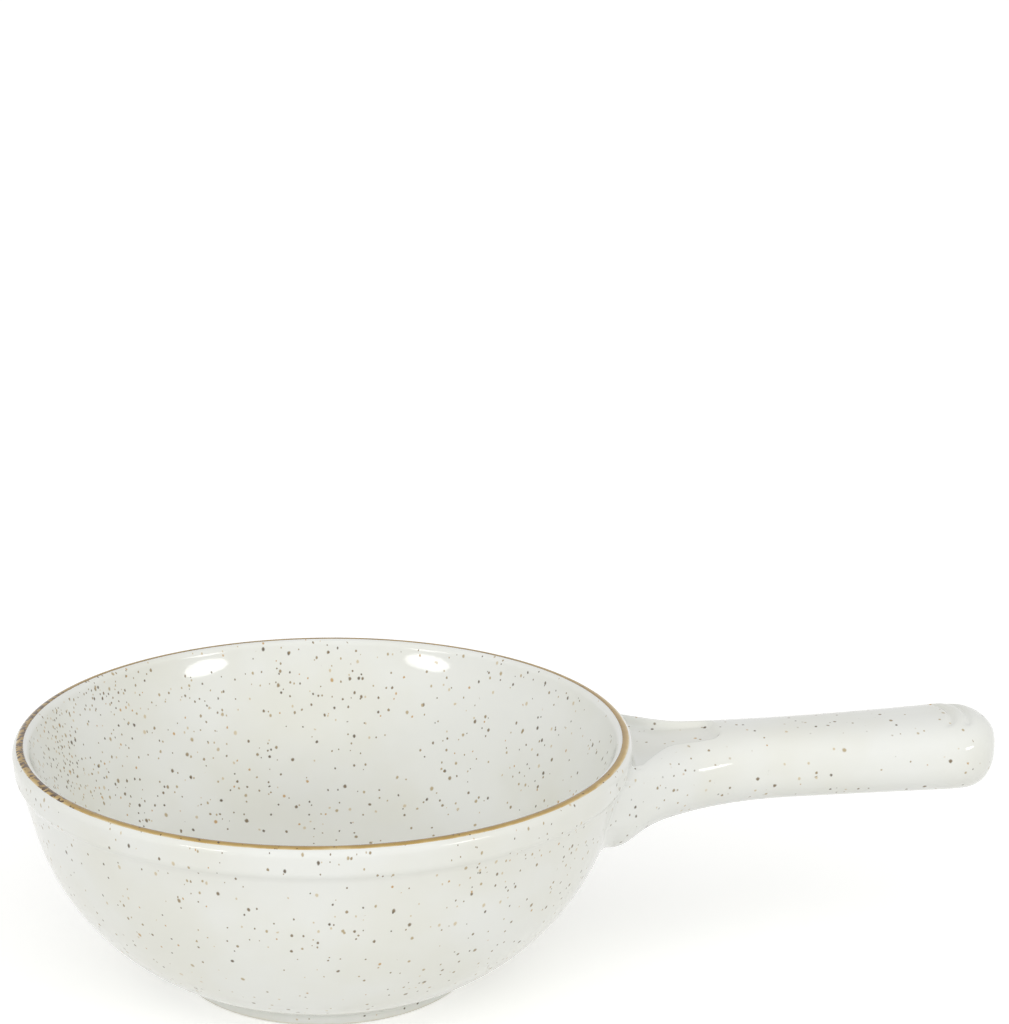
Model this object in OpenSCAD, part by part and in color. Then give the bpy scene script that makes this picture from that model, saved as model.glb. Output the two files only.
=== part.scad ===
// Handled serving pan: a glazed stoneware bowl on a low foot ring, with a thick
// luted handle and an amber band on the lip. Origin on the bowl's axis at the
// table, +Z up, handle along +X. Millimetres.

/* [Bowl] */
// Outside diameter at the lip
rim_d = 140; // [125:1:160]
// Height from the table to the crest of the lip
bowl_h = 56.8; // [52:0.1:64]
// Radius of the rounded lip
lip_r = 1.9; // [1.6:0.1:2.4]
// Height of the collar under the crest
collar_h = 5.2; // [4.6:0.1:7]
// Inward lean of the collar, degrees
collar_lean = 5; // [2:0.5:8]
// Radius of the collar's lower edge
collar_roll = 2.4; // [1.8:0.1:3]
// How far the collar stands proud of the wall
collar_step = 0.65; // [0.4:0.05:1]
// Radius of the soft hollow under the collar
collar_hollow = 4; // [2:0.1:5]
// Inward lean of the outer wall, degrees
wall_lean = 14.5; // [12:0.1:17]
// Radius of the belly outside
belly_r = 54.5; // [51:0.5:58]
// Inward lean of the inside just under the lip, degrees
inner_top_lean = 15.5; // [12:0.1:18]
// Radius of the slow curve inside, under the lip
inner_top_r = 43; // [30:0.5:60]
// Inward lean of the inner wall, degrees
inner_lean = 23.5; // [21:0.1:25]
// Radius of the belly inside
inner_belly_r = 38; // [34:0.5:42]
// Radius of the dished floor inside
floor_r = 300; // [200:10:500]
// Thickness of the floor on the axis
floor_t = 4.5; // [3.5:0.1:6.5]

/* [Foot ring] */
// Outside diameter of the foot ring
foot_d = 67.6; // [60:0.1:74]
// Height of the foot ring outside
foot_h = 2.6; // [2.2:0.1:3.4]
// Width of the foot ring
foot_w = 4.6; // [3.6:0.1:6]
// Depth of the hollow inside the foot ring
foot_hollow = 2.6; // [2:0.1:3.4]
// Radius of the foot ring's edges
foot_edge = 0.6; // [0.4:0.1:0.8]
// Radius where the foot meets the belly
foot_fillet = 1.9; // [1:0.1:2.1]
// Radius where the foot meets the hollow under the bowl
hollow_fillet = 1.1; // [0.7:0.1:1.4]

/* [Handle] */
// Length of the handle past the lip
handle_len = 90.3; // [75:0.1:110]
// Width of the handle at its waist
waist_w = 21.7; // [19:0.1:25]
// Width of the handle near its end
end_w = 26.2; // [22:0.1:30]
// Thickness of the handle at its waist
handle_t = 17.7; // [14:0.1:20]
// Depth of the handle's top below the lip
handle_drop = 3.9; // [3:0.1:4.6]
// Rise of the top from the waist to the thumb steps
thumb_rise = 0.8; // [0:0.1:1.6]
// Distance of the waist from the lip
waist_gap = 34; // [28:0.5:40]
// Radius of the flare in plan, from the waist to the bowl
flare_r = 62; // [54:1:72]
// Radius of the underside's slow flare
under_flare_r = 220; // [160:5:300]
// Distance of that flare's start from the lip
under_flare_gap = 40; // [34:0.5:46]
// Radius of the tight curve under the root
root_curve_r = 28; // [22:0.5:36]
// Distance of that curve's start from the lip
root_curve_gap = 8; // [5:0.5:10]
// Depth of the root's top below the lip
root_drop = 4.7; // [4.2:0.1:5.6]
// Length of the rounded end in plan
end_round = 13; // [10:0.1:15]
// Length of the rounded end seen from the side
end_nose = 9; // [7:0.1:10]
// Rise of the rounded end's middle
nose_lift = 1.8; // [0:0.1:2.6]

/* [Section of the handle] */
// Squareness of the grip above its middle, where 2 is an ellipse
grip_power = 2.5; // [2:0.1:3]
// Squareness of the root above its middle
root_power = 5.6; // [4:0.1:7]
// Squareness below the middle
under_power = 2.2; // [2:0.1:2.6]
// Distance from the lip at which the section starts to square up
square_gap = 16; // [12:0.5:24]
// Squareness of the rounded end in plan
end_power = 2.1; // [2:0.1:2.6]
// Squareness of the rounded end seen from the side
nose_power = 2.4; // [2:0.1:3]

/* [Well in the handle] */
// Length of the well from the lip
well_len = 21.8; // [18:0.1:27]
// Width of the well at its outer end
well_end_w = 10.2; // [7:0.1:12]
// Widening of each side per millimetre, near the outer end
well_taper_slope = 0.15; // [0.05:0.01:0.2]
// Further widening per millimetre where the well opens to the bowl
well_flare_slope = 1.05; // [0.8:0.05:1.2]
// Distance of that opening's start from the well's outer end
well_flare_from = 13.5; // [11:0.1:16]
// Softness of the bend where the opening starts
well_flare_bend = 2.5; // [1:0.1:4]
// Corner radius at the well's outer end
well_corner = 2.6; // [1.5:0.1:4]
// Depth of the well's floor below the lip at its outer end
well_end_depth = 5.9; // [5.2:0.1:6.6]
// Depth of the well's floor below the lip at the bowl
well_root_depth = 7.6; // [6.9:0.1:8.2]
// Rise of the well's floor from the middle out to the root's sides
well_dish = 1.3; // [0.5:0.1:1.6]
// Width of the well's soft edge
well_edge = 1.6; // [1.2:0.1:2.4]

/* [Thumb steps] */
// Number of grooves between the steps
groove_n = 2; // [1:1:3]
// Distance of the first groove from the handle's end
groove_from_end = 11.1; // [10:0.1:13]
// Distance between grooves
groove_pitch = 3.9; // [3.4:0.1:4.4]
// Radius of the first groove in plan
groove_arc_r = 13; // [10:0.1:18]
// Depth of a groove
groove_depth = 0.7; // [0.4:0.1:1]
// Half width of a groove
groove_half_w = 0.9; // [0.7:0.1:1.2]
// Half width of the thumb steps across the handle
thumb_half_w = 8.5; // [7:0.1:10]
// Length over which a groove fades out at its ends
groove_fade = 2.5; // [1.5:0.1:4]

/* [Rim band] */
// Thickness of the amber band
band_t = 0.35; // [0.25:0.05:0.6]
// Angle of the lip that the band covers, degrees
band_angle = 46; // [36:1:70]
// Tilt of the band towards the outside, degrees
band_tilt = 9; // [-10:1:20]

/* [Handle joint] */
// Thickness of the slip layer between handle and bowl
slip_t = 0.5; // [0.3:0.05:0.8]

/* [Hidden] */
$fn = 96;

rim_r = rim_d / 2;
foot_r = foot_d / 2;
foot_in_r = foot_r - foot_w;
// Angle between neighbouring points on wide and on tight arcs
wide_step = 3;
tight_step = 15;

// Profile points are [radius, height]; a wall that leans in has this downward
// direction and this outward normal.
function down(lean) = [-sin(lean), -cos(lean)];
function outward(lean) = [cos(lean), -sin(lean)];

// Distance along the unit direction u from p to the first or second point that
// lies at distance r from c (side -1 or +1).
function reach(p, u, c, r, side) =
    let (w = p - c, b = w * u)
    -b + side * sqrt(b * b - w * w + r * r);

// Lip, collar and the roll at the collar's lower edge
lip_c = [rim_r - lip_r, bowl_h - lip_r];
collar_run = (collar_h - lip_r) / cos(collar_lean);
roll_c = lip_c + outward(collar_lean) * (lip_r - collar_roll) + down(collar_lean) * collar_run;

// Outer wall: a straight lean that runs into the belly's arc above the foot
wall_p = roll_c + outward(collar_lean) * collar_roll - [collar_step, 0];
belly_start = wall_p - outward(wall_lean) * belly_r;
foot_top = [foot_r, foot_h];
belly_run = reach(belly_start, down(wall_lean), foot_top, belly_r, -1);
belly_c = belly_start + down(wall_lean) * belly_run;

// Soft hollow between the collar's roll and the wall
hollow_start = wall_p + outward(wall_lean) * collar_hollow;
hollow_c = hollow_start + down(wall_lean)
    * reach(hollow_start, down(wall_lean), roll_c, collar_roll + collar_hollow, 1);

// Inside: a slow curve under the lip, then a straight lean into the inner belly
// and the dished floor
floor_c = [0, foot_hollow + floor_t + floor_r];
inner_top_c = lip_c - outward(inner_top_lean) * (lip_r + inner_top_r);
inner_start = inner_top_c + outward(inner_lean) * (inner_top_r - inner_belly_r);
inner_c = inner_start + down(inner_lean)
    * reach(inner_start, down(inner_lean), floor_c, floor_r - inner_belly_r, 1);

// Fillet between the foot ring and the belly
foot_fillet_r = foot_r + foot_fillet;
foot_fillet_c = [foot_fillet_r, belly_c[1]
    - sqrt(pow(belly_r + foot_fillet, 2) - pow(foot_fillet_r - belly_c[0], 2))];

// Ends of the amber band on the lip
band_from = 90 - band_tilt - band_angle / 2;
band_to = 90 - band_tilt + band_angle / 2;

// How far inside the lip the handle's section stops changing, with a soft change
// over root_blend on both sides, and how far inside the handle's skin starts
root_in = 4;
root_blend = 2.5;
skin_in = 26;
// Power of the widening from the waist to the end, and of the rise to the thumb steps
swell_power = 1.3;
rise_power = 2;

// Places along X
tip_x = rim_r + handle_len;
waist_x = rim_r + waist_gap;
root_x = rim_r - root_in;
skin_x = rim_r - skin_in;
square_x = rim_r + square_gap;
under_flare_x = rim_r + under_flare_gap;
root_curve_x = rim_r + root_curve_gap;
end_round_x = tip_x - end_round;
end_nose_x = tip_x - end_nose;
well_end_x = rim_r + well_len;
groove_x = tip_x - groove_from_end;
groove_c = groove_x - groove_arc_r;

// Smooth step from 0 to 1
function ease(t) = let (u = min(max(t, 0), 1)) u * u * (3 - 2 * u);
// Height lost at distance d from the tangent point of an arc of radius r
function sag(d, r) = let (u = max(d, 0)) r - sqrt(max(r * r - u * u, 0));
// Width left at distance d into a rounded end of length l
function rounded(d, l, power) = pow(max(1 - pow(min(max(d / l, 0), 1), power), 0), 1 / power);

function half_width(x) =
    let (u = min(max(x - waist_x, 0) / (end_round_x - waist_x), 1))
    (waist_w / 2 + sag(waist_x - x, flare_r) + (end_w - waist_w) / 2 * pow(u, swell_power))
    * rounded(x - end_round_x, end_round, end_power);

function top_line(x) =
    let (u = min(max(x - waist_x, 0) / (groove_x - waist_x), 1))
    bowl_h - handle_drop + thumb_rise * pow(u, rise_power)
    - (root_drop - handle_drop) * ease((waist_x - x) / (waist_x - root_x));

function under_line(x) =
    bowl_h - handle_drop - handle_t
    - sag(under_flare_x - x, under_flare_r) - sag(root_curve_x - x, root_curve_r);

// Squareness of the section's upper half
function upper_power(x) =
    grip_power + (root_power - grip_power) * ease((square_x - x) / (square_x - root_x));

// Well: opens like a trumpet towards the bowl, with rounded corners at its outer
// end, and is sunk to a dished floor that slopes down to the bowl
function well_half(x) =
    let (d = well_end_x - x, u = d - well_flare_from)
    well_end_w / 2 + well_taper_slope * d + well_flare_slope * (u + norm([u, well_flare_bend])) / 2;
function well_floor(x, y) =
    bowl_h - well_end_depth
    - (well_root_depth - well_end_depth) * (well_end_x - x) / well_len
    + well_dish * pow(y / half_width(root_x), 2);
function well_mask(x, y) =
    let (
        from_end = max(well_corner - (well_end_x - x), 0),
        from_side = max(well_corner - (well_half(x) - abs(y)), 0)
    )
    ease((well_corner - norm([from_end, from_side])) / well_edge + 0.5);

// Thumb steps: grooves along arcs that bow towards the handle's end
function groove_sink(x, y) =
    let (d = norm([x - groove_c, y]) - groove_arc_r)
    x < groove_c ? 0 : groove_depth * ease((thumb_half_w - abs(y)) / groove_fade)
        * max([for (k = [0 : groove_n - 1]) exp(-pow((d - k * groove_pitch) / groove_half_w, 2))]);

// Station that shapes the section at x: inside the root the section stays the same
function shaping(x) =
    let (d = x - root_x)
    d > root_blend ? x : root_x + pow(max(d + root_blend, 0), 2) / (4 * root_blend);

// Middle of the section at x, and its half height
function middle(x) = (top_line(x) + under_line(x)) / 2;
function half_height(x) = (top_line(x) - under_line(x)) / 2;

// One point of the handle's skin at station x and angle a about its middle line
function skin(x, a) =
    let (
        s = shaping(x),
        nose = rounded(x - end_nose_x, end_nose, nose_power),
        power = sin(a) > 0 ? upper_power(s) : under_power,
        size = pow(pow(abs(cos(a)), power) + pow(abs(sin(a)), power), -1 / power),
        y = half_width(s) * cos(a) * size,
        z = middle(s) + nose_lift * (1 - nose) + half_height(s) * nose * sin(a) * size,
        sunk = max(z - well_floor(s, y), 0) * well_mask(s, y) + groove_sink(x, y) * nose
    )
    [x, y, sin(a) > 0 ? z - sunk : z];

// Stations: close together where the root, the well's end and the thumb steps
// change quickly, and wide apart on the plain grip
well_end_zone = 2.5;
thumb_zone = 4;
tip_zone = 4;
tip_n = 7;
function span(from, to, n) = [for (i = [0 : n - 1]) from + (to - from) * i / n];
stations = concat(
    [skin_x],
    span(root_x - root_blend, root_x + root_blend, 4),
    span(root_x + root_blend, well_end_x - well_end_zone, 18),
    span(well_end_x - well_end_zone, well_end_x + well_end_zone, 9),
    span(well_end_x + well_end_zone, groove_x - thumb_zone, 9),
    span(groove_x - thumb_zone, tip_x - tip_zone, 20),
    [for (i = [0 : tip_n - 1]) tip_x - tip_zone * pow(1 - i / tip_n, 2)]);
// The stations that the slip layer at the root needs
slip_reach = 4;
root_stations = [for (x = stations) if (x < rim_r + slip_reach) x];

// Points round a section: on each flank, across each edge of the well, between those
// edges and on the underside
flank_n = 9;
edge_n = 6;
top_n = 16;
under_n = 20;
around = 2 * (flank_n + edge_n) + top_n + under_n;
// Distance from the well's edge to the ends of the zone with lines of its own, and
// the limits of those ends as shares of the section's half width
edge_zone = 1;
edge_out_share = 0.97;
edge_in_share = 0.9;
// Angle at which the section's upper half is a distance out from the well's edge, up
// to a share of the half width
function edge_angle(x, out, most) =
    let (
        power = upper_power(x),
        q = min((well_half(min(x, well_end_x)) + out) / half_width(x), most)
    )
    atan2(pow(1 - pow(q, power), 1 / power), q);
// Angles of the section's points: the lines along the skin follow the well's edge
function angles(x) =
    let (
        low = edge_angle(x, edge_zone, edge_out_share),
        high = edge_angle(x, -edge_zone, edge_in_share)
    )
    concat(
        span(0, low, flank_n), span(low, high, edge_n), span(high, 180 - high, top_n),
        span(180 - high, 180 - low, edge_n), span(180 - low, 180, flank_n),
        span(180, 360, under_n));

// Skin through the sections at a list of stations, closed by a point at the handle's
// tip or, on a short length of handle, by a flat end
module handle_skin(list, tip = []) {
    rings = len(list);
    points = concat([for (x = list) for (a = angles(shaping(x))) skin(x, a)], tip);
    sides = [for (i = [0 : rings - 2]) for (j = [0 : around - 1])
        let (k = (j + 1) % around, a = i * around, b = a + around)
        each [[a + j, b + k, a + k], [a + j, b + j, b + k]]];
    last = (rings - 1) * around;
    root_cap = [[for (j = [0 : around - 1]) j]];
    flat_cap = [[for (j = [around - 1 : -1 : 0]) last + j]];
    tip_cap = [for (j = [0 : around - 1]) [last + j, rings * around, last + (j + 1) % around]];
    end_cap = len(tip) > 0 ? tip_cap : flat_cap;
    polyhedron(points, concat(root_cap, sides, end_cap), convexity = 6);
}

// Points along an arc about c, from one angle to another
function arc(c, r, from, to) =
    let (n = ceil(abs(to - from) / (r > 10 ? wide_step : tight_step)))
    [for (i = [0 : n]) let (t = from + (to - from) * i / n) c + r * [cos(t), sin(t)]];
function heading(v) = atan2(v[1], v[0]);
function reversed(path) = [for (i = [len(path) - 1 : -1 : 0]) path[i]];

// Outside of the bowl from the foot's fillet up to the lip, moved outwards by d
function wall_outline(d) = concat(
    arc(belly_c, belly_r + d, heading(foot_fillet_c - belly_c), -wall_lean),
    arc(hollow_c, collar_hollow - d, 180 - wall_lean, heading(roll_c - hollow_c)),
    arc(roll_c, collar_roll + d, heading(hollow_c - roll_c), -collar_lean));

// Foot ring from the hollow under the bowl round to the foot's fillet
function foot_outline() = concat(
    arc([foot_in_r - hollow_fillet, foot_hollow - hollow_fillet], hollow_fillet, 90, 0),
    arc([foot_in_r + foot_edge, foot_edge], foot_edge, 180, 270),
    arc([foot_r - foot_edge, foot_edge], foot_edge, 270, 360),
    arc(foot_fillet_c, foot_fillet, 180, heading(belly_c - foot_fillet_c)));

// Lip with the seat of the amber band
function lip_outline() = concat(
    arc(lip_c, lip_r, -collar_lean, band_from),
    arc(lip_c, lip_r - band_t, band_from, band_to),
    arc(lip_c, lip_r, band_to, 180 - inner_top_lean));

// Inside from the lip down to the middle of the floor
function inside_outline() = concat(
    arc(inner_top_c, inner_top_r, -inner_top_lean, -inner_lean),
    arc(inner_c, inner_belly_r, -inner_lean, heading(inner_c - floor_c)),
    arc(floor_c, floor_r, heading(inner_c - floor_c), -90));

// The bowl's outer form as one solid, moved outwards by d
module outer_form(d) {
    wall = wall_outline(d);
    rotate_extrude() polygon(concat(
        [[0, wall[0][1]]], wall, arc(lip_c, lip_r + d, -collar_lean, 90), [[0, bowl_h + d]]));
}

module bowl() {
    color("#ece4d6")
    rotate_extrude() polygon(concat(
        [[0, foot_hollow]], foot_outline(), wall_outline(0), lip_outline(), inside_outline()));
}

module handle() {
    color("#ebe2d2")
    difference() {
        handle_skin(stations, [[tip_x, 0, middle(tip_x) + nose_lift]]);
        outer_form(slip_t);
    }
}

module luting_slip() {
    color("#cfc2ab")
    intersection() {
        rotate_extrude() polygon(concat(wall_outline(0), reversed(wall_outline(slip_t))));
        handle_skin(root_stations);
    }
}

module rim_band() {
    color("#c19a4e")
    rotate_extrude() polygon(concat(
        arc(lip_c, lip_r, band_from, band_to), arc(lip_c, lip_r - band_t, band_to, band_from)));
}

bowl();
handle();
luting_slip();
rim_band();
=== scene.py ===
"""Handled serving pan in speckled glazed stoneware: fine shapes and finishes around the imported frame.

Shapes are worked out in millimetres, in the frame's own axes, and become metres when a mesh is made.
"""

import math

import bpy
import numpy as np
from mathutils import Matrix, Vector


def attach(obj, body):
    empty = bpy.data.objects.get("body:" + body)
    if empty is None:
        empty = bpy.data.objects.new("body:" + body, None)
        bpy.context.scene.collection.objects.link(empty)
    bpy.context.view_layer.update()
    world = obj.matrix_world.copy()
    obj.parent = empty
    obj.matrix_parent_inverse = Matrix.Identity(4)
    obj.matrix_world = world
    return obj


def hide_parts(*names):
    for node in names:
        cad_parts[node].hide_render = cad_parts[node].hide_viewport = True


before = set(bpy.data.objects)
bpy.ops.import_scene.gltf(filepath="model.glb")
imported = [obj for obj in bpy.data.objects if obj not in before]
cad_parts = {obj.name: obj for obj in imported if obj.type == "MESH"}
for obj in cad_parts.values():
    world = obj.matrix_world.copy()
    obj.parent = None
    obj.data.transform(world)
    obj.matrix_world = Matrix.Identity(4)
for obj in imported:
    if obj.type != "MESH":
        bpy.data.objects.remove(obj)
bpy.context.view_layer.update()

MM = 0.001

# Bowl, mm and degrees
RIM_R = 70.0
BOWL_H = 56.8
LIP_R = 1.9
COLLAR_H = 5.2
COLLAR_LEAN = 5.0
COLLAR_ROLL = 2.4
COLLAR_STEP = 0.65
COLLAR_HOLLOW = 4.0
WALL_LEAN = 14.5
BELLY_R = 54.5
INNER_TOP_LEAN = 15.5
INNER_TOP_R = 43.0
INNER_LEAN = 23.5
INNER_BELLY_R = 38.0
FLOOR_R = 300.0
FLOOR_T = 4.5
FOOT_R = 33.8
FOOT_H = 2.6
FOOT_W = 4.6
FOOT_HOLLOW = 2.6
FOOT_EDGE = 0.6
FOOT_FILLET = 1.9
HOLLOW_FILLET = 1.1

# Amber band on the lip
BAND_T = 0.35
BAND_FROM = 58.0
BAND_TO = 104.0

# Handle, along X
TIP_X = 160.3
WAIST_X = 104.0
ROOT_X = 66.0
ROOT_BLEND = 2.5
ROOT_CURVE_X = 78.0
WAIST_W = 21.7
END_W = 26.2
HANDLE_T = 17.7
HANDLE_DROP = 3.9
THUMB_RISE = 0.8
FLARE_R = 62.0
UNDER_FLARE_R = 220.0
UNDER_FLARE_X = 110.0
ROOT_CURVE_R = 28.0
ROOT_DROP = 4.7
GRIP_SQUARE = 2.5
ROOT_SQUARE = 5.6
SQUARE_X = 86.0
UNDER_SQUARE = 2.2
END_ROUND = 13.0
END_NOSE = 9.0
NOSE_SQUARE = 2.4
NOSE_LIFT = 1.8
WELL_END_X = 91.8
WELL_LEN = 21.8
WELL_END_W = 10.2
WELL_TAPER = 0.15
WELL_FLARE = 1.05
WELL_FLARE_FROM = 13.5
WELL_FLARE_BEND = 2.5
WELL_CORNER = 2.6
WELL_END_DEPTH = 5.9
WELL_ROOT_DEPTH = 7.6
WELL_DISH = 1.3
WELL_EDGE = 1.6
GROOVE_X = 149.2
GROOVE_PITCH = 3.9
GROOVE_ARC_R = 13.0
GROOVE_DEPTH = 0.7
GROOVE_HALF_W = 0.9
THUMB_HALF_W = 8.5
THUMB_FADE = 2.5
SWELL_POWER = 1.3
END_POWER = 2.1

# Glaze where the handle meets the wall: width of its fillet on top, at the sides and below
FILLET_TOP = 3.6
FILLET_SIDE = 8.0
FILLET_UNDER = 0.5
UNDER_POWER = 0.7
# Depth under the wall's skin of the fillet's end, of its hem and of the closed back
FILLET_SINK = 0.02
TUCK = 0.12
BACK_SINK = 0.36
BACK_RINGS = (0.25, 0.5, 0.75)

# Unevenness inside the bowl: depth, the stretch below the lip over which it grows, and waves
# of (count around, length down the wall, phase)
RIPPLE_DEPTH = 0.09
RIPPLE_START = 12.0
RIPPLE_WAVES = [(5, 31, 0.3), (9, 47, 1.9), (13, 26, 4.1), (19, 38, 2.7), (26, 61, 5.2)]
# Keeps the dots outside apart from those inside
OUTSIDE_SHIFT = 400.0

# Fineness of the meshes
AROUND_BOWL = 320
WIDE_STEP = 1.0
TIGHT_STEP = 0.25
AROUND_TOP = 150
AROUND_UNDER = 106
FILLET_ROWS = 9
# Stretches along the handle: where each starts, and its rows
STRETCHES = [(76.0, 40), (90.0, 26), (95.5, 60), (144.0, 60)]
END_STRETCH = (157.0, 26)
ROOT_ROWS_TO = 95.0
# Step for slopes, and reach of the search for the joint inside and outside the rim
STEP = 0.01
SEARCH_IN = 26.0
SEARCH_OUT = 12.0

# Camera, from the rim's ellipse and the outlines of bowl and handle in the photograph
IMAGE_W, IMAGE_H = 1009, 1024
FOCAL_PX = 2600.0
CAMERA_PITCH = 15.24
CAMERA_ROLL = 0.72
HANDLE_YAW = 10.97
RIM_IN_VIEW = (-40.83, -49.70, 591.14)
SENSOR = 36.0


# Small maths

def ease(t):
    u = np.clip(t, 0.0, 1.0)
    return u * u * (3 - 2 * u)


def sag(d, r):
    u = np.clip(d, 0.0, r)
    return r - np.sqrt(r * r - u * u)


def rounded(d, length, power):
    return np.maximum(1 - np.clip(d / length, 0.0, 1.0) ** power, 0.0) ** (1 / power)


def unit(v):
    return v / np.linalg.norm(v, axis=-1, keepdims=True)


def dot(a, b):
    return np.sum(a * b, -1, keepdims=True)


def turn(degrees):
    """Unit vector [radius, height] at an angle."""
    a = math.radians(degrees)
    return np.array([math.cos(a), math.sin(a)])


def heading(v):
    return math.degrees(math.atan2(v[1], v[0]))


def down(lean):
    return -turn(90 - lean)


def outward(lean):
    return turn(-lean)


def reach(p, u, c, r, side):
    """Distance along u from p to the point at distance r from c."""
    w = p - c
    b = w @ u
    return -b + side * math.sqrt(b * b - w @ w + r * r)


def arc(c, r, start, end, step):
    """Points along an arc about c, about a step apart."""
    n = max(3, math.ceil(abs(math.radians(end - start)) * r / step))
    return np.array([c + r * turn(start + (end - start) * i / n) for i in range(n + 1)])


def line(a, b, step):
    n = max(2, math.ceil(np.linalg.norm(b - a) / step))
    return np.array([a + (b - a) * i / n for i in range(n + 1)])


# Profile of the bowl, [radius, height]

lip_c = np.array([RIM_R - LIP_R, BOWL_H - LIP_R])
roll_c = (lip_c + outward(COLLAR_LEAN) * (LIP_R - COLLAR_ROLL)
          + down(COLLAR_LEAN) * (COLLAR_H - LIP_R) / math.cos(math.radians(COLLAR_LEAN)))
wall_p = roll_c + outward(COLLAR_LEAN) * COLLAR_ROLL - np.array([COLLAR_STEP, 0.0])
belly_start = wall_p - outward(WALL_LEAN) * BELLY_R
belly_c = belly_start + down(WALL_LEAN) * reach(
    belly_start, down(WALL_LEAN), np.array([FOOT_R, FOOT_H]), BELLY_R, -1)
hollow_start = wall_p + outward(WALL_LEAN) * COLLAR_HOLLOW
hollow_c = hollow_start + down(WALL_LEAN) * reach(
    hollow_start, down(WALL_LEAN), roll_c, COLLAR_ROLL + COLLAR_HOLLOW, 1)
floor_c = np.array([0.0, FOOT_HOLLOW + FLOOR_T + FLOOR_R])
inner_top_c = lip_c - outward(INNER_TOP_LEAN) * (LIP_R + INNER_TOP_R)
inner_start = inner_top_c + outward(INNER_LEAN) * (INNER_TOP_R - INNER_BELLY_R)
inner_c = inner_start + down(INNER_LEAN) * reach(
    inner_start, down(INNER_LEAN), floor_c, FLOOR_R - INNER_BELLY_R, 1)
fillet_r = FOOT_R + FOOT_FILLET
fillet_c = np.array([fillet_r, belly_c[1] - math.sqrt(
    (BELLY_R + FOOT_FILLET) ** 2 - (fillet_r - belly_c[0]) ** 2)])
foot_in_r = FOOT_R - FOOT_W


def joined(*runs):
    """One path from several, without the points that neighbours share."""
    path = [runs[0]]
    for run in runs[1:]:
        path.append(run[1:] if np.allclose(run[0], path[-1][-1], atol=1e-6) else run)
    return np.concatenate(path)


def outside_path():
    """Foot fillet, belly, wall, hollow under the collar and the collar, up to the lip."""
    belly = arc(belly_c, BELLY_R, heading(fillet_c - belly_c), -WALL_LEAN, WIDE_STEP)
    hollow = arc(hollow_c, COLLAR_HOLLOW, 180 - WALL_LEAN, heading(roll_c - hollow_c), TIGHT_STEP)
    roll = arc(roll_c, COLLAR_ROLL, heading(hollow_c - roll_c), -COLLAR_LEAN, TIGHT_STEP)
    collar_top = lip_c + LIP_R * outward(COLLAR_LEAN)
    return joined(
        arc(fillet_c, FOOT_FILLET, 180, heading(belly_c - fillet_c), TIGHT_STEP), belly,
        line(belly[-1], hollow[0], WIDE_STEP), hollow, roll, line(roll[-1], collar_top, WIDE_STEP))


def foot_path():
    """From the axis under the bowl, round the foot ring, to the foot's fillet."""
    hollow_edge = np.array([foot_in_r - HOLLOW_FILLET, FOOT_HOLLOW - HOLLOW_FILLET])
    inner = arc(np.array([foot_in_r + FOOT_EDGE, FOOT_EDGE]), FOOT_EDGE, 180, 270, TIGHT_STEP)
    outer = arc(np.array([FOOT_R - FOOT_EDGE, FOOT_EDGE]), FOOT_EDGE, 270, 360, TIGHT_STEP)
    under = line(np.array([2 * WIDE_STEP, FOOT_HOLLOW]), hollow_edge + [0, HOLLOW_FILLET], 2 * WIDE_STEP)
    return joined(under, arc(hollow_edge, HOLLOW_FILLET, 90, 0, TIGHT_STEP), inner,
                  line(inner[-1], outer[0], WIDE_STEP), outer)


def lip_path():
    """Lip with the seat of the amber band."""
    seat = arc(lip_c, LIP_R - BAND_T, BAND_FROM, BAND_TO, TIGHT_STEP)
    return joined(arc(lip_c, LIP_R, -COLLAR_LEAN, BAND_FROM, TIGHT_STEP), seat,
                  arc(lip_c, LIP_R, BAND_TO, 180 - INNER_TOP_LEAN, TIGHT_STEP))


def inside_path():
    """Inner wall, belly and dished floor, down to the axis."""
    wall_end = inner_c + INNER_BELLY_R * outward(INNER_LEAN)
    under_lip = arc(inner_top_c, INNER_TOP_R, -INNER_TOP_LEAN, -INNER_LEAN, WIDE_STEP / 2)
    wall = line(under_lip[-1], wall_end, WIDE_STEP)
    turn_in = heading(inner_c - floor_c)
    floor_from = math.degrees(2 * WIDE_STEP / FLOOR_R) - 90
    return joined(under_lip, wall, arc(inner_c, INNER_BELLY_R, -INNER_LEAN, turn_in, WIDE_STEP),
                  arc(floor_c, FLOOR_R, turn_in, floor_from, WIDE_STEP))


def outer_radius(z):
    """Radius of the bowl's outside at a height."""
    path = outside_path()
    return np.interp(z, path[:, 1], path[:, 0])


# Meshes

def make_piece(name, points, faces, material, sharp_angle=50):
    mesh = bpy.data.meshes.new(name)
    mesh.from_pydata(np.asarray(points) * MM, [], faces)
    mesh.validate()
    mesh.shade_smooth()
    mesh.set_sharp_from_angle(angle=math.radians(sharp_angle))
    mesh.materials.append(material)
    piece = bpy.data.objects.new(name, mesh)
    bpy.context.scene.collection.objects.link(piece)
    return piece


def set_values(piece, name, values):
    """A number or a vector for each vertex, for the piece's material."""
    values = np.asarray(values, np.float32)
    kind, field = ("FLOAT", "value") if values.ndim == 1 else ("FLOAT_VECTOR", "vector")
    attribute = piece.data.attributes.new(name, kind, "POINT")
    attribute.data.foreach_set(field, values.ravel())


def grid_faces(rows, columns, first=0):
    """Quads between rows of points, where each row closes on itself."""
    i, j = np.meshgrid(np.arange(rows - 1), np.arange(columns), indexing="ij")
    k = (j + 1) % columns
    quads = np.stack([i * columns + j, i * columns + k, (i + 1) * columns + k, (i + 1) * columns + j], -1)
    return (quads.reshape(-1, 4) + first).tolist()


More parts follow.
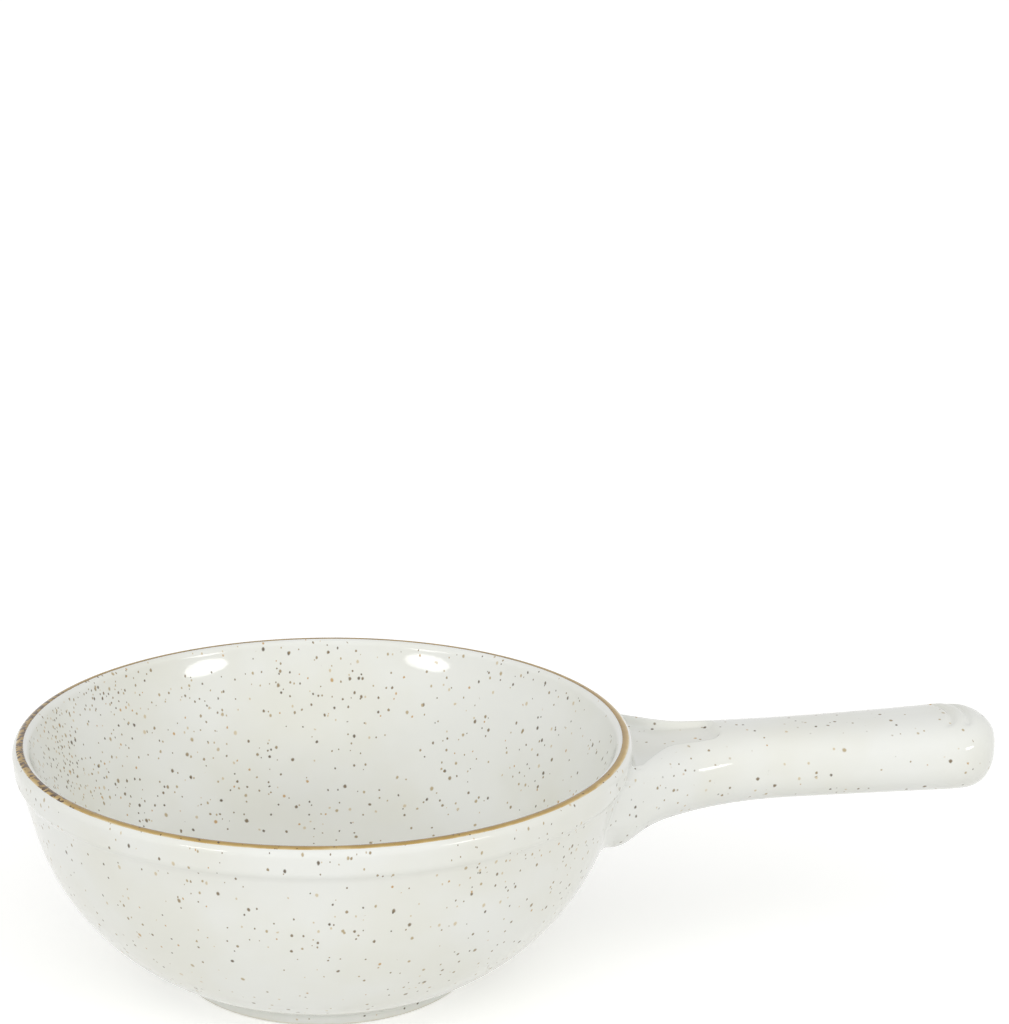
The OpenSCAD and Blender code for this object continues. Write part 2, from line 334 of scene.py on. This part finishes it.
def fan_faces(row, columns, centre, flip):
    """Triangles from a row of points to one centre point."""
    faces = [(row * columns + j, row * columns + (j + 1) % columns, centre) for j in range(columns)]
    return [f[::-1] for f in faces] if flip else faces


def revolve(path):
    """Points of a path turned about Z, one row for each point of the path."""
    angle = np.linspace(0, 2 * math.pi, AROUND_BOWL, endpoint=False)
    radius, height = path[:, :1], path[:, 1:]
    return np.stack([radius * np.cos(angle), radius * np.sin(angle), height + 0 * angle], -1)


def ripple(angle, run):
    """Slow unevenness of hand-finished ware, from -1 to 1, over angle and length."""
    total = sum(np.sin(n * angle + 2 * math.pi * run / length + phase)
                for n, length, phase in RIPPLE_WAVES)
    return total / len(RIPPLE_WAVES)


def flat_places(run, angle, crest):
    """Places unrolled from the middle of the foot, and past the crest from the middle of the floor."""
    is_outside = (np.arange(len(run)) < crest)[:, None]
    from_middle = np.where(is_outside, run[:, None], run[-1] - run[:, None])
    side = np.where(is_outside, OUTSIDE_SHIFT, 0.0)
    return np.stack([from_middle * np.cos(angle) + side, from_middle * np.sin(angle), 0 * angle], -1)


def make_bowl(material):
    outside = joined(foot_path(), outside_path())
    lip = lip_path()
    inside = inside_path()
    path = joined(outside, lip, inside)
    points = revolve(path)
    is_inside = np.arange(len(path)) >= len(path) - len(inside)
    run = np.concatenate([[0.0], np.cumsum(np.linalg.norm(np.diff(path, axis=0), axis=1))])
    angle = np.arctan2(points[:, :, 1], points[:, :, 0])
    slope = np.gradient(path, axis=0)
    normal = unit(np.stack([slope[:, 1], -slope[:, 0]], -1))
    depth = RIPPLE_DEPTH * is_inside[:, None] * (ripple(angle, run[:, None]) - 1) / 2
    depth = depth * ease((run - run[-len(inside)]) / RIPPLE_START)[:, None]
    points[:, :, 0] += depth * normal[:, :1] * np.cos(angle)
    points[:, :, 1] += depth * normal[:, :1] * np.sin(angle)
    points[:, :, 2] += depth * normal[:, 1:]
    rows, columns = points.shape[:2]
    middles = [[0, 0, FOOT_HOLLOW], [0, 0, FOOT_HOLLOW + FLOOR_T]]
    vertices = np.concatenate([points.reshape(-1, 3), middles])
    faces = grid_faces(rows, columns)
    faces += fan_faces(0, columns, rows * columns, True)
    faces += fan_faces(rows - 1, columns, rows * columns + 1, False)
    piece = make_piece("speckled_bowl", vertices, faces, material)
    set_values(piece, "inside", np.append(np.repeat(is_inside, columns), [0, 1]))
    flat = flat_places(run, angle, len(outside) + len(lip) // 2).reshape(-1, 3)
    flat_middles = [[OUTSIDE_SHIFT, 0, 0], [0, 0, 0]]
    set_values(piece, "flat", np.concatenate([flat, flat_middles]) * MM)
    return piece


def make_rim_band(material):
    """Ring flush with the lip; its ends run out onto the lip on both sides of the seat."""
    margin = 2.0
    top = arc(lip_c, LIP_R, BAND_FROM - margin, BAND_TO + margin, TIGHT_STEP / 2)
    across = np.linspace(BAND_FROM - margin, BAND_TO + margin, len(top))
    under_r = LIP_R - BAND_T * ease(np.minimum(across - BAND_FROM, BAND_TO - across) / margin + 1)
    under = np.array([lip_c + r * turn(a) for r, a in zip(under_r, across)])[::-1]
    path = np.concatenate([top, under[1:-1]])
    points = revolve(path)
    rows, columns = points.shape[:2]
    faces = grid_faces(rows, columns)
    faces += [(f[0] + (rows - 1) * columns, f[1] + (rows - 1) * columns, f[1], f[0])
              for f in ((j, (j + 1) % columns) for j in range(columns))]
    piece = make_piece("amber_rim_band", points.reshape(-1, 3), faces, material)
    share = np.linspace(0, 1, len(top))
    set_values(piece, "across", np.repeat(np.concatenate([share, share[-2:0:-1]]), columns))
    return piece


# Handle

def half_width(x):
    u = np.clip((x - WAIST_X) / (TIP_X - END_ROUND - WAIST_X), 0.0, 1.0)
    width = WAIST_W / 2 + sag(WAIST_X - x, FLARE_R) + (END_W - WAIST_W) / 2 * u ** SWELL_POWER
    return width * rounded(x - TIP_X + END_ROUND, END_ROUND, END_POWER)


def root_share(x):
    return ease((WAIST_X - x) / (WAIST_X - ROOT_X))


def top_line(x):
    rise = THUMB_RISE * np.clip((x - WAIST_X) / (GROOVE_X - WAIST_X), 0.0, 1.0) ** 2
    return BOWL_H - HANDLE_DROP + rise - (ROOT_DROP - HANDLE_DROP) * root_share(x)


def under_line(x):
    return (BOWL_H - HANDLE_DROP - HANDLE_T - sag(UNDER_FLARE_X - x, UNDER_FLARE_R)
            - sag(ROOT_CURVE_X - x, ROOT_CURVE_R))


def well_share(x):
    return (WELL_END_X - x) / WELL_LEN


def well_half(x):
    """Half width of the well, which opens like a trumpet towards the bowl."""
    d = WELL_END_X - x
    u = d - WELL_FLARE_FROM
    return WELL_END_W / 2 + WELL_TAPER * d + WELL_FLARE * (u + np.hypot(u, WELL_FLARE_BEND)) / 2


def well_mask(x, y):
    from_end = np.maximum(WELL_CORNER - (WELL_END_X - x), 0)
    from_side = np.maximum(WELL_CORNER - (well_half(x) - np.abs(y)), 0)
    return ease((WELL_CORNER - np.hypot(from_end, from_side)) / WELL_EDGE + 0.5)


def groove_sink(x, y):
    centre = GROOVE_X - GROOVE_ARC_R
    d = np.hypot(x - centre, y) - GROOVE_ARC_R
    cut = np.maximum(*(np.exp(-((d - k * GROOVE_PITCH) / GROOVE_HALF_W) ** 2) for k in (0, 1)))
    fade = ease((THUMB_HALF_W - np.abs(y)) / THUMB_FADE)
    return np.where(x > centre, GROOVE_DEPTH * fade * cut, 0.0)


def handle_skin(x, a):
    """Points of the handle's skin at stations x and angles a about its middle line."""
    d = x - ROOT_X
    s = np.where(d > ROOT_BLEND, x, ROOT_X + np.maximum(d + ROOT_BLEND, 0) ** 2 / (4 * ROOT_BLEND))
    nose = rounded(x - TIP_X + END_NOSE, END_NOSE, NOSE_SQUARE)
    top, under = top_line(s), under_line(s)
    upper = np.sin(a) > 0
    squared = ease((SQUARE_X - s) / (SQUARE_X - ROOT_X))
    power = np.where(upper, GRIP_SQUARE + (ROOT_SQUARE - GRIP_SQUARE) * squared, UNDER_SQUARE)
    scale = (np.abs(np.cos(a)) ** power + np.abs(np.sin(a)) ** power) ** (-1 / power)
    y = half_width(s) * np.cos(a) * scale
    z = (top + under) / 2 + NOSE_LIFT * (1 - nose) + (top - under) / 2 * nose * np.sin(a) * scale
    floor = (BOWL_H - WELL_END_DEPTH - (WELL_ROOT_DEPTH - WELL_END_DEPTH) * well_share(s)
             + WELL_DISH * (y / half_width(np.full_like(s, ROOT_X))) ** 2)
    sunk = np.maximum(z - floor, 0) * well_mask(s, y) + groove_sink(x, y) * nose
    return np.stack([x, y, z - np.where(upper, sunk, 0.0)], -1)


def wall_gap(points):
    """Distance of points from the bowl's outside, along the radius."""
    return np.hypot(points[..., 0], points[..., 1]) - outer_radius(points[..., 2])


def on_wall(points, depth=0.0):
    """Points moved along the radius onto the bowl's outside, or under it by a depth."""
    angle = np.arctan2(points[..., 1], points[..., 0])
    radius = outer_radius(points[..., 2]) - depth
    return np.stack([radius * np.cos(angle), radius * np.sin(angle), points[..., 2]], -1)


def find_junction(a):
    """Station at which each angle's line along the handle meets the wall."""
    low, high = np.full_like(a, RIM_R - SEARCH_IN), np.full_like(a, RIM_R + SEARCH_OUT)
    for _ in range(40):
        middle = (low + high) / 2
        outside = wall_gap(handle_skin(middle, a)) > 0
        low, high = np.where(outside, low, middle), np.where(outside, middle, high)
    return (low + high) / 2


def wall_normal(points):
    """Outward direction of the bowl's wall at points on it."""
    lifted = on_wall(points + [0, 0, STEP]) - on_wall(points - [0, 0, STEP])
    sideways = np.stack([-points[:, 1], points[:, 0], 0 * points[:, 2]], -1)
    return unit(np.cross(sideways, lifted))


def fillet_width(a):
    """Width of the glaze's fillet at each angle about the handle."""
    up = np.sin(a)
    return np.where(up > 0, FILLET_SIDE + (FILLET_TOP - FILLET_SIDE) * up,
                    FILLET_SIDE + (FILLET_UNDER - FILLET_SIDE) * np.abs(up) ** UNDER_POWER)


def make_fillet(a, joint, leg):
    """Rows from the wall to the handle's skin, tangent to both; the first row is on the wall."""
    corner = on_wall(handle_skin(joint, a))
    start = handle_skin(joint + leg, a)
    along = unit(handle_skin(joint + STEP, a) - handle_skin(joint - STEP, a))
    across = unit(handle_skin(joint, a + STEP) - handle_skin(joint, a - STEP))
    skin_normal = unit(np.cross(across, along))
    skin_normal *= np.sign(dot(skin_normal, corner - corner.mean(0)))
    normal = wall_normal(corner)
    away = unit(skin_normal - normal * dot(skin_normal, normal))
    end = on_wall(corner + away * leg[:, None], FILLET_SINK)

    size = np.linalg.norm(corner - start, axis=-1, keepdims=True)
    from_skin = start + unit(handle_skin(joint + leg - STEP, a) - start) * size * 2 / 3
    normal = wall_normal(end)
    back = corner - end
    from_wall = end + (back - normal * dot(back, normal)) * 2 / 3
    t = np.linspace(1, 0, FILLET_ROWS)[:, None, None]
    return ((1 - t) ** 3 * start + 3 * t * (1 - t) ** 2 * from_skin
            + 3 * t ** 2 * (1 - t) * from_wall + t ** 3 * end)


def make_back(end):
    """Rings and a centre that close the handle's root under the wall's skin."""
    angle, height = np.arctan2(end[:, 1], end[:, 0]), end[:, 2]
    middle = height.mean()
    rings = []
    for share in BACK_RINGS:
        ring_angle, ring_height = angle * share, middle + (height - middle) * share
        ring = np.stack([np.cos(ring_angle), np.sin(ring_angle), ring_height], -1)
        rings.append(on_wall(ring, BACK_SINK))
    return np.array(rings), on_wall(np.array([[1.0, 0.0, middle]]), BACK_SINK)


def handle_stations():
    """Stations along the handle, closest together at the well's end, the thumb steps and the tip."""
    stretches = STRETCHES + [END_STRETCH]
    runs = [np.linspace(x, following[0], rows, endpoint=False)
            for (x, rows), following in zip(stretches, stretches[1:])]
    x, rows = END_STRETCH
    return np.concatenate(runs + [TIP_X - (TIP_X - x) * np.linspace(1, 0, rows, endpoint=False) ** 2])


def make_handle(material):
    upper = np.linspace(0, math.pi, AROUND_TOP, endpoint=False)
    lower = np.linspace(math.pi, 2 * math.pi, AROUND_UNDER, endpoint=False)
    a = np.concatenate([upper, lower])
    columns = len(a)
    joint = find_junction(a)
    leg = fillet_width(a)
    fillet = make_fillet(a, joint, leg)
    hem = on_wall(fillet[0], TUCK)[None]
    back, centre = make_back(fillet[0])

    stations = handle_stations()
    near = ease((ROOT_ROWS_TO - stations) / (ROOT_ROWS_TO - stations[0]))[:, None]
    grip_x = stations[:, None] + (joint + leg - stations[0]) * near
    grip = handle_skin(grip_x[1:], np.broadcast_to(a, grip_x[1:].shape))
    rows = np.concatenate([back, hem, fillet, grip])
    tip = handle_skin(np.array([TIP_X]), np.array([0.0]))
    vertices = np.concatenate([rows.reshape(-1, 3), centre, tip])
    faces = grid_faces(len(rows), columns)
    faces += fan_faces(0, columns, len(rows) * columns, True)
    faces += fan_faces(len(rows) - 1, columns, len(rows) * columns + 1, False)
    return make_piece("glazed_handle", vertices, faces, material)


# Materials

GLAZE_PALE = (239, 240, 235)
GLAZE_WARM = (235, 235, 226)
BARE_CLAY = (236, 233, 220)
# Layers of dots: size of a cell and radius of a dot in mm, share of the cells with a dot
BOWL_DOTS = [(4.4, 0.68, 0.46), (3.3, 0.52, 0.32), (2.6, 0.36, 0.24)]
HANDLE_DOTS = [(2.3, 0.64, 0.50), (1.9, 0.52, 0.46)]
SPRAY = (1.8, 0.50)
DOT_TONES = [(0.0, (90, 73, 46)), (0.18, (120, 99, 64)), (0.38, (152, 131, 93)),
             (0.58, (184, 164, 125)), (0.78, (214, 198, 165)), (0.92, (198, 158, 98))]
# Raggedness of the dots, and sizes of the noise that crowds them, warms the glaze and dimples it, mm
DOT_WARP = 0.4
WARP_SIZE = 0.8
CLUSTER_SIZE = 10
CLOUD_SIZE = 26
PEEL_SIZE = 6
STREAK_SIZE = 9
# Height below which the foot is bare clay, where the glaze starts to thin out, mm
BARE_BELOW = 0.8
GLAZED_ABOVE = 1.2
# Amber wash, from its thin outer edge to the inner edge
AMBER_WASH = [(0.0, (224, 207, 164)), (0.1, (205, 175, 112)), (0.3, (185, 151, 80)),
              (0.7, (166, 134, 66)), (1.0, (135, 108, 54))]
AMBER_CLOT = (92, 66, 34)


def srgb(r, g, b):
    """Shader colour of an 8-bit screen colour."""
    def linear(v):
        v /= 255
        return v / 12.92 if v <= 0.04045 else ((v + 0.055) / 1.055) ** 2.4
    return (linear(r), linear(g), linear(b), 1.0)


class Graph:
    """Short calls for building the nodes of a material or a world."""

    def __init__(self, owner):
        self.owner = owner
        owner.use_nodes = True
        self.tree = owner.node_tree
        self.tree.nodes.clear()

    def add(self, kind, sockets=None, **settings):
        made = self.tree.nodes.new("ShaderNode" + kind)
        for key, value in settings.items():
            setattr(made, key, value)
        for key, value in (sockets or {}).items():
            self.put(made.inputs[key], value)
        return made

    def put(self, socket, value):
        if isinstance(value, bpy.types.NodeSocket):
            self.tree.links.new(value, socket)
        else:
            socket.default_value = value

    def math(self, operation, a, b=0.0, c=0.0):
        return self.add("Math", {0: a, 1: b, 2: c}, operation=operation).outputs[0]

    def smooth(self, value, low, high):
        """0 below low and 1 above high, or the other way round."""
        return self.add("MapRange", {"Value": value, "From Min": low, "From Max": high},
                        interpolation_type="SMOOTHSTEP").outputs[0]

    def mix(self, factor, a, b):
        made = self.add("Mix", {0: factor}, data_type="RGBA")
        self.put(made.inputs[6], a)
        self.put(made.inputs[7], b)
        return made.outputs[2]

    def noise(self, vector, size, detail=2.0):
        """Noise whose features are about a size in mm."""
        return self.add("TexNoise", {"Vector": vector, "Scale": 1 / (size * MM), "Detail": detail})

    def ramp(self, value, stops, interpolation="LINEAR"):
        """Colour from a list of (place, 8-bit colour)."""
        made = self.add("ValToRGB", {0: value})
        band = made.color_ramp
        band.interpolation = interpolation
        for _ in stops[2:]:
            band.elements.new(1.0)
        for element, (position, colour) in zip(band.elements, stops):
            element.position, element.color = position, srgb(*colour)
        return made.outputs[0]

    def shift(self, vector, offset):
        return self.add("VectorMath", {0: vector, 1: offset}, operation="ADD").outputs[0]

    def white_where_seen(self, light, white):
        """The white where the camera, a reflection or glass sees it, and the light elsewhere."""
        path = self.add("LightPath").outputs
        seen = self.math("MAXIMUM", path["Is Camera Ray"], path["Is Glossy Ray"])
        seen = self.math("MAXIMUM", seen, path["Is Transmission Ray"])
        return self.add("MixShader", {0: seen, 1: light, 2: white}).outputs[0]


def speckles(g, place, cell, radius, share, seed, flat, softness=0.4):
    """One layer of dots: (mask, tone). Cells of a size in mm hold a dot for a share of them."""
    cells = g.add("TexVoronoi", {"Vector": g.shift(place, seed), "Scale": 1 / (cell * MM)},
                  voronoi_dimensions="2D" if flat else "3D")
    pick = g.add("SeparateColor", {0: cells.outputs["Color"]})
    size = g.math("MULTIPLY_ADD", pick.outputs[1], 0.5 * radius / cell, 0.55 * radius / cell)
    inner = g.math("MULTIPLY", size, softness)
    dot = g.smooth(cells.outputs["Distance"], size, inner)
    there = g.math("LESS_THAN", pick.outputs[0], share)
    return g.math("MULTIPLY", dot, there), pick.outputs[2]


def glaze_colour(g, place, share, layers, flat=None):
    """Cream glaze with layers of iron dots, flat on the surface or cut from space: (colour, dots)."""
    warp = g.noise(place, WARP_SIZE).outputs["Color"]
    centred = g.add("VectorMath", {0: warp, 1: (0.5, 0.5, 0.5)}, operation="SUBTRACT").outputs[0]
    pushed = g.add("VectorMath", {0: centred}, operation="SCALE")
    pushed.inputs["Scale"].default_value = DOT_WARP * MM
    dotted = g.add("VectorMath", {0: place if flat is None else flat, 1: pushed.outputs[0]},
                   operation="ADD").outputs[0]
    cloud = g.noise(place, CLOUD_SIZE, 3).outputs["Fac"]
    colour = g.mix(g.smooth(cloud, 0.35, 0.7), srgb(*GLAZE_PALE), srgb(*GLAZE_WARM))
    clusters = g.add("MapRange", {"Value": g.noise(place, CLUSTER_SIZE, 1).outputs["Fac"], "From Min": 0.36,
                                  "From Max": 0.64, "To Min": 0.45, "To Max": 1.5}).outputs[0]
    share = g.math("MULTIPLY", share, clusters)
    dots = None
    for k, (cell, radius, part) in enumerate(layers):
        part = g.math("MULTIPLY", part, share)
        seed = (0.2 + 0.31 * k, 0.1 + 0.23 * k, 0.3 + 0.17 * k)
        mask, tone = speckles(g, dotted, cell, radius, part, seed, flat is not None)
        colour = g.mix(g.math("MULTIPLY", mask, 0.92), colour, g.ramp(tone, DOT_TONES, "CONSTANT"))
        dots = mask if dots is None else g.math("MAXIMUM", dots, mask)
    return colour, dots


def finish_glaze(g, place, colour, dots):
    """Glossy coat with a slight peel, a little duller on the dots."""
    peel = g.noise(place, PEEL_SIZE, 1).outputs["Fac"]
    height = g.math("ADD", peel, g.math("MULTIPLY", dots, 0.2))
    bump = g.add("Bump", {"Height": height, "Strength": 0.2, "Distance": 0.1 * MM})
    streak = g.noise(place, STREAK_SIZE, 3).outputs["Fac"]
    rough = g.math("MULTIPLY_ADD", streak, 0.05, 0.035)
    rough = g.math("ADD", rough, g.math("MULTIPLY", dots, 0.12))
    shader = g.add("BsdfPrincipled", {"Base Color": colour, "Roughness": rough,
                                      "IOR": 1.5, "Normal": bump.outputs[0]})
    g.add("OutputMaterial", {"Surface": shader.outputs[0]})
    return g.owner


def bowl_glaze():
    g = Graph(bpy.data.materials.new("speckled_glaze"))
    place = g.add("TexCoord").outputs["Object"]
    inside = g.add("Attribute", attribute_name="inside").outputs["Fac"]
    across, _, height = g.add("SeparateXYZ", {0: place}).outputs
    far_side = g.smooth(across, 25 * MM, -45 * MM)
    share = g.math("MULTIPLY_ADD", inside, g.math("MULTIPLY_ADD", far_side, 0.4, 0.12), 0.62)
    at_left = g.smooth(across, -36 * MM, -60 * MM)
    by_rim = g.math("MULTIPLY", at_left, g.smooth(height, 28 * MM, 44 * MM))
    spray = g.math("MULTIPLY", g.math("MULTIPLY", by_rim, inside), 0.48)
    flat = g.add("Attribute", attribute_name="flat").outputs["Vector"]
    colour, dots = glaze_colour(g, place, share, BOWL_DOTS + [(*SPRAY, spray)], flat)
    uneven = g.math("MULTIPLY", g.noise(place, 3).outputs["Fac"], 0.8 * MM)
    bare = g.smooth(g.math("ADD", height, uneven), GLAZED_ABOVE * MM, BARE_BELOW * MM)
    colour = g.mix(bare, colour, srgb(*BARE_CLAY))
    return finish_glaze(g, place, colour, dots)


def handle_glaze():
    g = Graph(bpy.data.materials.new("handle_glaze"))
    place = g.add("TexCoord").outputs["Object"]
    along = g.add("SeparateXYZ", {0: place}).outputs[0]
    share = g.add("MapRange", {"Value": along, "From Min": 72 * MM, "From Max": 100 * MM,
                               "To Min": 0.75, "To Max": 0.6}).outputs[0]
    colour, dots = glaze_colour(g, place, share, HANDLE_DOTS)
    return finish_glaze(g, place, colour, dots)


def amber_glaze():
    g = Graph(bpy.data.materials.new("amber_glaze"))
    place = g.add("TexCoord").outputs["Object"]
    flow = g.noise(place, 5, 3).outputs["Fac"]
    along = g.add("SeparateXYZ", {0: place}).outputs[0]
    across = g.add("Attribute", attribute_name="across").outputs["Fac"]
    thick = g.math("ADD", across, g.math("MULTIPLY", g.math("SUBTRACT", flow, 0.5), 0.7))
    thick = g.math("SUBTRACT", thick, g.math("MULTIPLY", g.smooth(along, 30 * MM, 64 * MM), 0.08))
    colour = g.ramp(thick, AMBER_WASH)
    clots = g.noise(place, 1.3, 2).outputs["Fac"]
    crowd = g.math("MULTIPLY", g.smooth(along, -48 * MM, -67 * MM), 0.2)
    colour = g.mix(g.smooth(g.math("ADD", clots, crowd), 0.66, 0.72), colour, srgb(*AMBER_CLOT))
    rough = g.math("MULTIPLY_ADD", flow, 0.15, 0.12)
    bump = g.add("Bump", {"Height": clots, "Strength": 0.2, "Distance": 0.08 * MM})
    shader = g.add("BsdfPrincipled", {"Base Color": colour, "Roughness": rough, "IOR": 1.5,
                                      "Normal": bump.outputs[0]})
    g.add("OutputMaterial", {"Surface": shader.outputs[0]})
    return g.owner


# The part

bowl = make_bowl(bowl_glaze())
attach(bowl, "root")
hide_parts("bowl")

handle = make_handle(handle_glaze())
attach(handle, "root")
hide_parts("handle", "luting_slip")

rim_band = make_rim_band(amber_glaze())
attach(rim_band, "root")
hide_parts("rim_band")


# Stage: camera, lamps and a white floor

# Light that the white floor adds where it is seen, and height of the sky's brightest side in degrees
FLOOR_LIFT = 0.40
SKY_LIFT = 27
FLOOR_HALF = 6.0
# Level of the sky behind the part and in front of it
SKY_BEHIND = 0.44
SKY_FRONT = 1.2
# Softboxes: distance and size in metres, azimuth and elevation in degrees, radiance
SOFTBOX_AWAY = 6.0
SOFTBOX_SIZE = (2.0, 0.95)
SOFTBOXES = {"softbox_left": (-40, 18, 6.5), "softbox_right": (55, 17.5, 7.0)}
AIM = (0, 0, 0.03)


def make_camera():
    pitch, roll, yaw = (math.radians(v) for v in (CAMERA_PITCH, CAMERA_ROLL, -HANDLE_YAW))
    forward = Vector((0, math.cos(pitch), -math.sin(pitch)))
    right, up = Vector((1, 0, 0)), Vector((0, math.sin(pitch), math.cos(pitch)))
    right, up = (math.cos(roll) * right + math.sin(roll) * up,
                 math.cos(roll) * up - math.sin(roll) * right)
    spin = Matrix.Rotation(yaw, 3, "Z")
    right, up, forward = spin @ right, spin @ up, spin @ forward
    rim = Vector((0, 0, BOWL_H)) * MM
    x, y, depth = (v * MM for v in RIM_IN_VIEW)
    data = bpy.data.cameras.new("camera")
    data.sensor_width = SENSOR
    data.lens = FOCAL_PX * SENSOR / max(IMAGE_W, IMAGE_H)
    data.clip_start, data.clip_end = 0.01, 50
    camera = bpy.data.objects.new("camera", data)
    bpy.context.scene.collection.objects.link(camera)
    camera.matrix_world = Matrix.Translation(rim - x * right - y * up - depth * forward) @ (
        Matrix((right, up, -forward)).transposed().to_4x4())
    bpy.context.scene.camera = camera


def make_lamp(name, azimuth, elevation, radiance):
    """Oval softbox seen from the part at an azimuth from the camera's side and an elevation."""
    side, lift = math.radians(azimuth - HANDLE_YAW - 90), math.radians(elevation)
    way = Vector((math.cos(side) * math.cos(lift), math.sin(side) * math.cos(lift), math.sin(lift)))
    data = bpy.data.lights.new(name, "AREA")
    data.shape = "ELLIPSE"
    data.size, data.size_y = SOFTBOX_SIZE
    area = math.pi / 4 * data.size * data.size_y
    data.energy = radiance * math.pi * area
    lamp = bpy.data.objects.new(name, data)
    lamp.location = Vector(AIM) + way * SOFTBOX_AWAY
    lamp.rotation_euler = way.to_track_quat("Z", "Y").to_euler()
    bpy.context.scene.collection.objects.link(lamp)


def make_floor():
    mesh = bpy.data.meshes.new("floor")
    corners = [(-FLOOR_HALF, -FLOOR_HALF, 0), (FLOOR_HALF, -FLOOR_HALF, 0),
               (FLOOR_HALF, FLOOR_HALF, 0), (-FLOOR_HALF, FLOOR_HALF, 0)]
    mesh.from_pydata(corners, [], [(0, 1, 2, 3)])
    floor = bpy.data.objects.new("floor", mesh)
    bpy.context.scene.collection.objects.link(floor)
    g = Graph(bpy.data.materials.new("white_floor"))
    diffuse = g.add("BsdfDiffuse", {"Color": srgb(240, 240, 238)}).outputs[0]
    lift = g.add("Emission", {"Color": (1, 1, 1, 1), "Strength": FLOOR_LIFT}).outputs[0]
    white = g.add("AddShader", {0: diffuse, 1: lift}).outputs[0]
    g.add("OutputMaterial", {"Surface": g.white_where_seen(diffuse, white)})
    mesh.materials.append(g.owner)


def make_world():
    """Sky that is brighter above the camera's side, and white where it is seen."""
    world = bpy.data.worlds.new("studio")
    bpy.context.scene.world = world
    g = Graph(world)
    yaw, lift = math.radians(HANDLE_YAW), math.radians(SKY_LIFT)
    brightest = (-math.sin(yaw) * math.cos(lift), -math.cos(yaw) * math.cos(lift), math.sin(lift))
    towards = g.add("VectorMath", {0: g.add("TexCoord").outputs["Generated"], 1: brightest},
                    operation="DOT_PRODUCT").outputs["Value"]
    level = g.add("MapRange", {"Value": towards, "To Min": SKY_BEHIND, "To Max": SKY_FRONT}).outputs[0]
    light = g.add("Background", {"Color": (1, 1, 1, 1), "Strength": level}).outputs[0]
    white = g.add("Background", {"Color": (1, 1, 1, 1), "Strength": 1.0}).outputs[0]
    g.add("OutputWorld", {"Surface": g.white_where_seen(light, white)})


make_camera()
make_floor()
make_world()
for name, settings in SOFTBOXES.items():
    make_lamp(name, *settings)
bpy.context.scene.view_settings.view_transform = "Standard"
